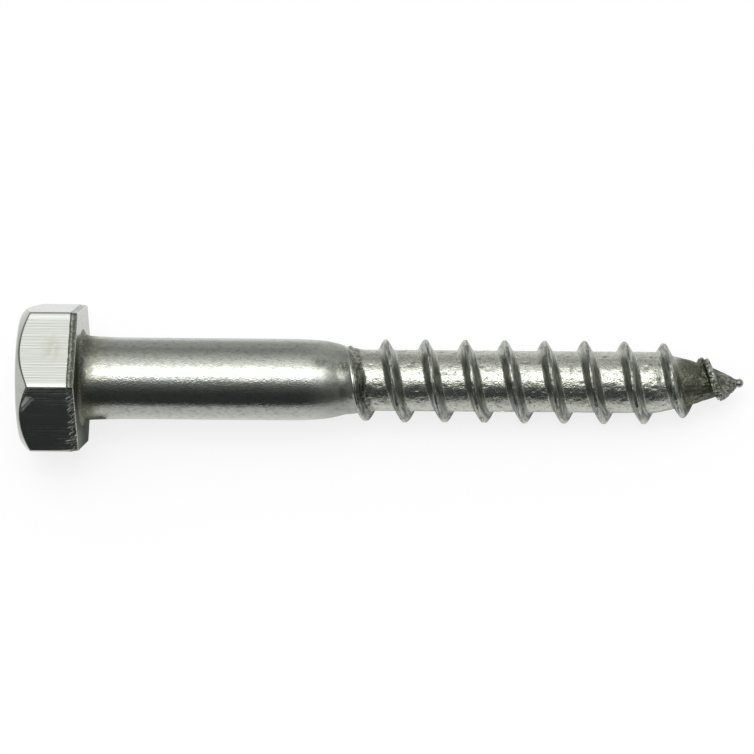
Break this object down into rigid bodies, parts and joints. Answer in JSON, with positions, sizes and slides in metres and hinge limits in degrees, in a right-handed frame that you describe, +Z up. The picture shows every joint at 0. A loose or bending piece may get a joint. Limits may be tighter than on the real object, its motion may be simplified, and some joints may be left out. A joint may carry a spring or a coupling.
{
  "type": "lag screw",
  "caption": "Hexagon-head lag screw of plain steel, with a smooth shank, a coarse wood thread and a gimlet point.",
  "frame": {"origin": "under the middle of the screw's footprint, on the level surface that it lies on", "axes": "+X along the screw toward its point, which hangs 2.9 degrees down from +X; +Z up; -Y is the side of the flat that faces the viewer"},
  "size_m": [0.0656, 0.0146, 0.0129],
  "materials": {
    "steel": "bright plain steel, glossy, with rolling and trimming marks"
  },
  "bodies": {
    "root": {"lag_screw": "steel"}
  },
  "joints": []
}
